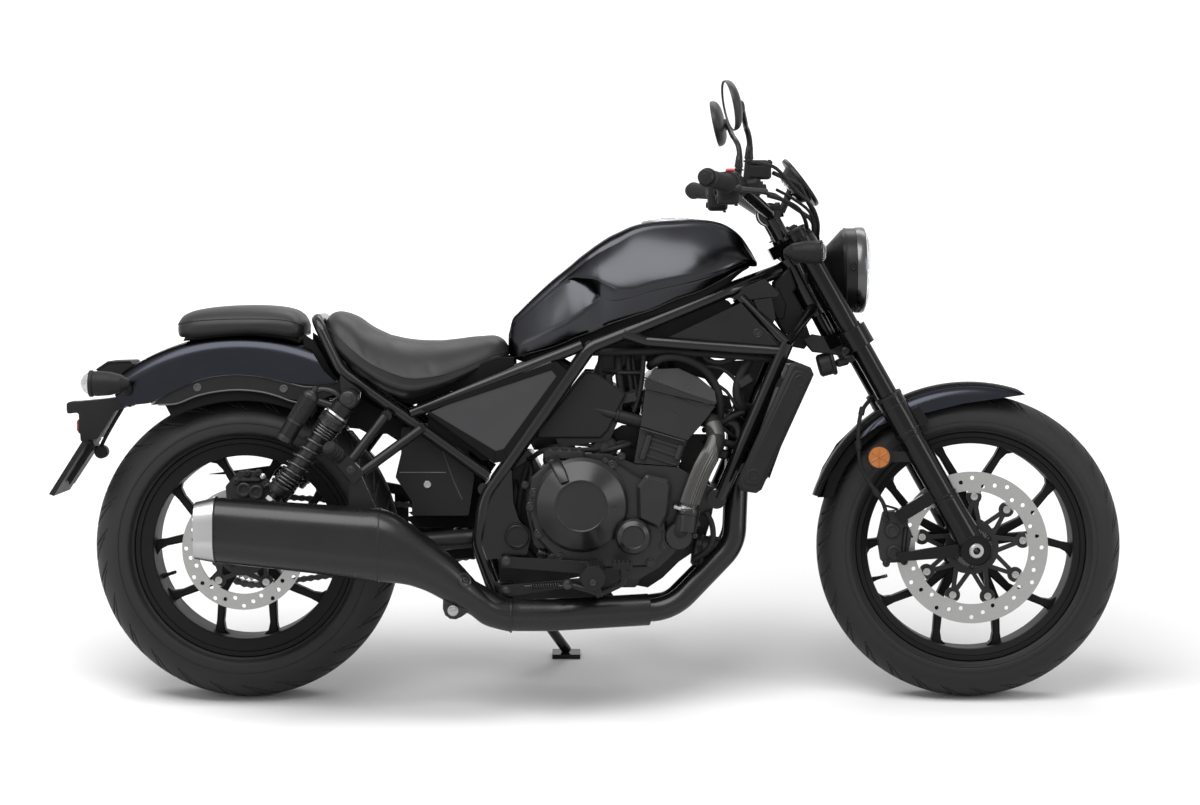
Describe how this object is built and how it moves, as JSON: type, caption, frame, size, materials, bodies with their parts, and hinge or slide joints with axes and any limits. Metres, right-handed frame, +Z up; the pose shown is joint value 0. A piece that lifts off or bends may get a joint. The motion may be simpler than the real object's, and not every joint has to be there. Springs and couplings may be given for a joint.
{
  "type": "cruiser motorcycle",
  "caption": "Twin-cylinder cruiser motorcycle with perimeter tube frame, teardrop tank, cast wheels and chain drive, leaning on its side stand.",
  "frame": {"origin": "middle of the bounding box, on the road", "axes": "+X forward, +Y to the machine's left, +Z up; the machine leans towards +Y on its side stand"},
  "size_m": [2.2432, 0.9216, 1.315],
  "materials": {
    "main_frame": "gloss black paint",
    "rear_subframe": "gloss black paint",
    "swingarm": "satin black paint",
    "crankcase": "satin dark grey coat",
    "engine_covers": "satin dark grey coat",
    "cylinder_block": "satin dark grey coat",
    "cylinder_head": "satin dark grey coat",
    "intake": "black",
    "airbox": "black",
    "frame_covers": "satin black",
    "side_panels": "satin dark grey",
    "radiator": "black coated core",
    "radiator_shrouds": "black",
    "coolant_hose": "ribbed black rubber",
    "exhaust_pipes": "matt black heat paint",
    "muffler": "matt black heat paint",
    "muffler_end": "brushed",
    "fuel_tank": "metallic gunmetal black, clear coat",
    "fuel_cap": "satin grey",
    "rider_seat": "black vinyl",
    "passenger_seat": "black vinyl",
    "rear_fender": "metallic gunmetal black, clear coat",
    "fender_valance": "black",
    "inner_mudguard": "black",
    "tail_lamp": "dark red lens",
    "plate_bracket": "black",
    "rear_indicators": "black shell, clear lens",
    "rear_shocks": "satin black",
    "shock_springs": "black coated steel",
    "rear_axle": "steel",
    "rear_caliper": "black",
    "drive_chain": "oiled steel",
    "chain_guard": "black",
    "footpegs": "satin black",
    "foot_controls": "satin black",
    "passenger_pegs": "satin black",
    "rear_rim": "satin black",
    "rear_tyre": "road rubber",
    "rear_disc": "ground steel",
    "rear_sprocket": "steel",
    "front_rim": "satin black",
    "front_tyre": "road rubber",
    "front_disc": "ground steel",
    "yokes": "satin black",
    "fork_stanchions": "black coated tube",
    "fork_sliders": "satin black",
    "front_axle": "steel",
    "handlebar": "satin black",
    "grips": "black rubber",
    "hand_controls": "black",
    "mirrors": "black",
    "mirror_glass": "mirror",
    "headlamp": "satin black",
    "headlamp_lens": "clear lens",
    "instrument": "black",
    "front_indicators": "black shell, clear lens",
    "front_fender": "satin black",
    "front_caliper": "black",
    "control_hoses": "black",
    "side_stand": "satin black"
  },
  "bodies": {
    "chassis": {"main_frame": "main_frame", "rear_subframe": "rear_subframe", "swingarm": "swingarm", "crankcase": "crankcase", "engine_covers": "engine_covers", "cylinder_block": "cylinder_block", "cylinder_head": "cylinder_head", "intake": "intake", "airbox": "airbox", "frame_covers": "frame_covers", "side_panels": "side_panels", "radiator": "radiator", "radiator_shrouds": "radiator_shrouds", "coolant_hose": "coolant_hose", "exhaust_pipes": "exhaust_pipes", "muffler": "muffler", "muffler_end": "muffler_end", "fuel_tank": "fuel_tank", "fuel_cap": "fuel_cap", "rider_seat": "rider_seat", "passenger_seat": "passenger_seat", "rear_fender": "rear_fender", "fender_valance": "fender_valance", "inner_mudguard": "inner_mudguard", "tail_lamp": "tail_lamp", "plate_bracket": "plate_bracket", "rear_indicators": "rear_indicators", "rear_shocks": "rear_shocks", "shock_springs": "shock_springs", "rear_axle": "rear_axle", "rear_caliper": "rear_caliper", "drive_chain": "drive_chain", "chain_guard": "chain_guard", "footpegs": "footpegs", "foot_controls": "foot_controls", "passenger_pegs": "passenger_pegs"},
    "steering": {"yokes": "yokes", "fork_stanchions": "fork_stanchions", "fork_sliders": "fork_sliders", "front_axle": "front_axle", "handlebar": "handlebar", "grips": "grips", "hand_controls": "hand_controls", "mirrors": "mirrors", "mirror_glass": "mirror_glass", "headlamp": "headlamp", "headlamp_lens": "headlamp_lens", "instrument": "instrument", "front_indicators": "front_indicators", "front_fender": "front_fender", "front_caliper": "front_caliper", "control_hoses": "control_hoses"},
    "front_wheel": {"front_rim": "front_rim", "front_tyre": "front_tyre", "front_disc": "front_disc"},
    "rear_wheel": {"rear_rim": "rear_rim", "rear_tyre": "rear_tyre", "rear_disc": "rear_disc", "rear_sprocket": "rear_sprocket"},
    "side_stand": {"side_stand": "side_stand"}
  },
  "joints": [
    {"name": "steering", "type": "hinge", "parent": "chassis", "child": "steering", "pos_m": [0.46048, 0.00418, 0.84077], "axis": [-0.4695, 0.1381, 0.8721], "range_deg": [-35, 35]},
    {"name": "front_wheel_spin", "type": "hinge", "parent": "steering", "child": "front_wheel", "pos_m": [0.80243, -0.07867, 0.31766], "axis": [0, 0.9877, -0.1564], "continuous": true},
    {"name": "rear_wheel_spin", "type": "hinge", "parent": "chassis", "child": "rear_wheel", "pos_m": [-0.71757, -0.07873, 0.31729], "axis": [0, 0.9877, -0.1564], "continuous": true},
    {"name": "side_stand_fold", "type": "hinge", "parent": "chassis", "child": "side_stand", "pos_m": [-0.12757, 0.05439, 0.16054], "axis": [0, 0.7771, 0.6293], "range_deg": [0, 103]}
  ]
}
